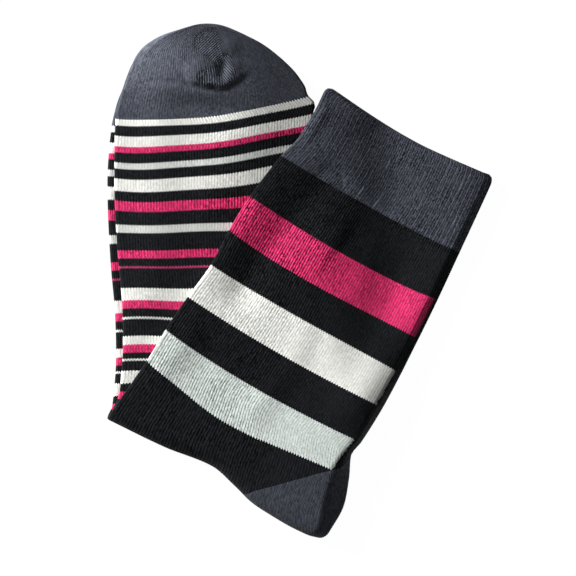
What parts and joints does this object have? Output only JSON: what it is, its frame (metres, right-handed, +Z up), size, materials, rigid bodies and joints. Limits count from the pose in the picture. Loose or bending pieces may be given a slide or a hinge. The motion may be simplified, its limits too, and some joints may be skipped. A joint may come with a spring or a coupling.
{
  "type": "folded pair of crew socks",
  "caption": "Pair of striped knitted crew socks with ribbed cuffs, heel pockets and toe caps, stacked and folded over at the ankle, lying flat.",
  "frame": {"origin": "middle of the pair's footprint, on the surface it lies on", "axes": "+Z up from the surface, +Y along the feet towards the toes, +X towards the side where the folded legs and cuffs stick out"},
  "size_m": [0.1756, 0.2348, 0.0104],
  "materials": {
    "striped_knit": "matt knit, black with white, pink and grey stripes",
    "charcoal_knit": "matt knit, charcoal melange",
    "charcoal_rib": "matt rib knit, charcoal melange"
  },
  "bodies": {
    "root": {"outer_cuff": "charcoal_rib", "outer_body": "striped_knit", "outer_heel": "charcoal_knit", "outer_toe": "charcoal_knit", "inner_cuff": "charcoal_rib", "inner_body": "striped_knit", "inner_heel": "charcoal_knit", "inner_toe": "charcoal_knit"}
  },
  "joints": []
}
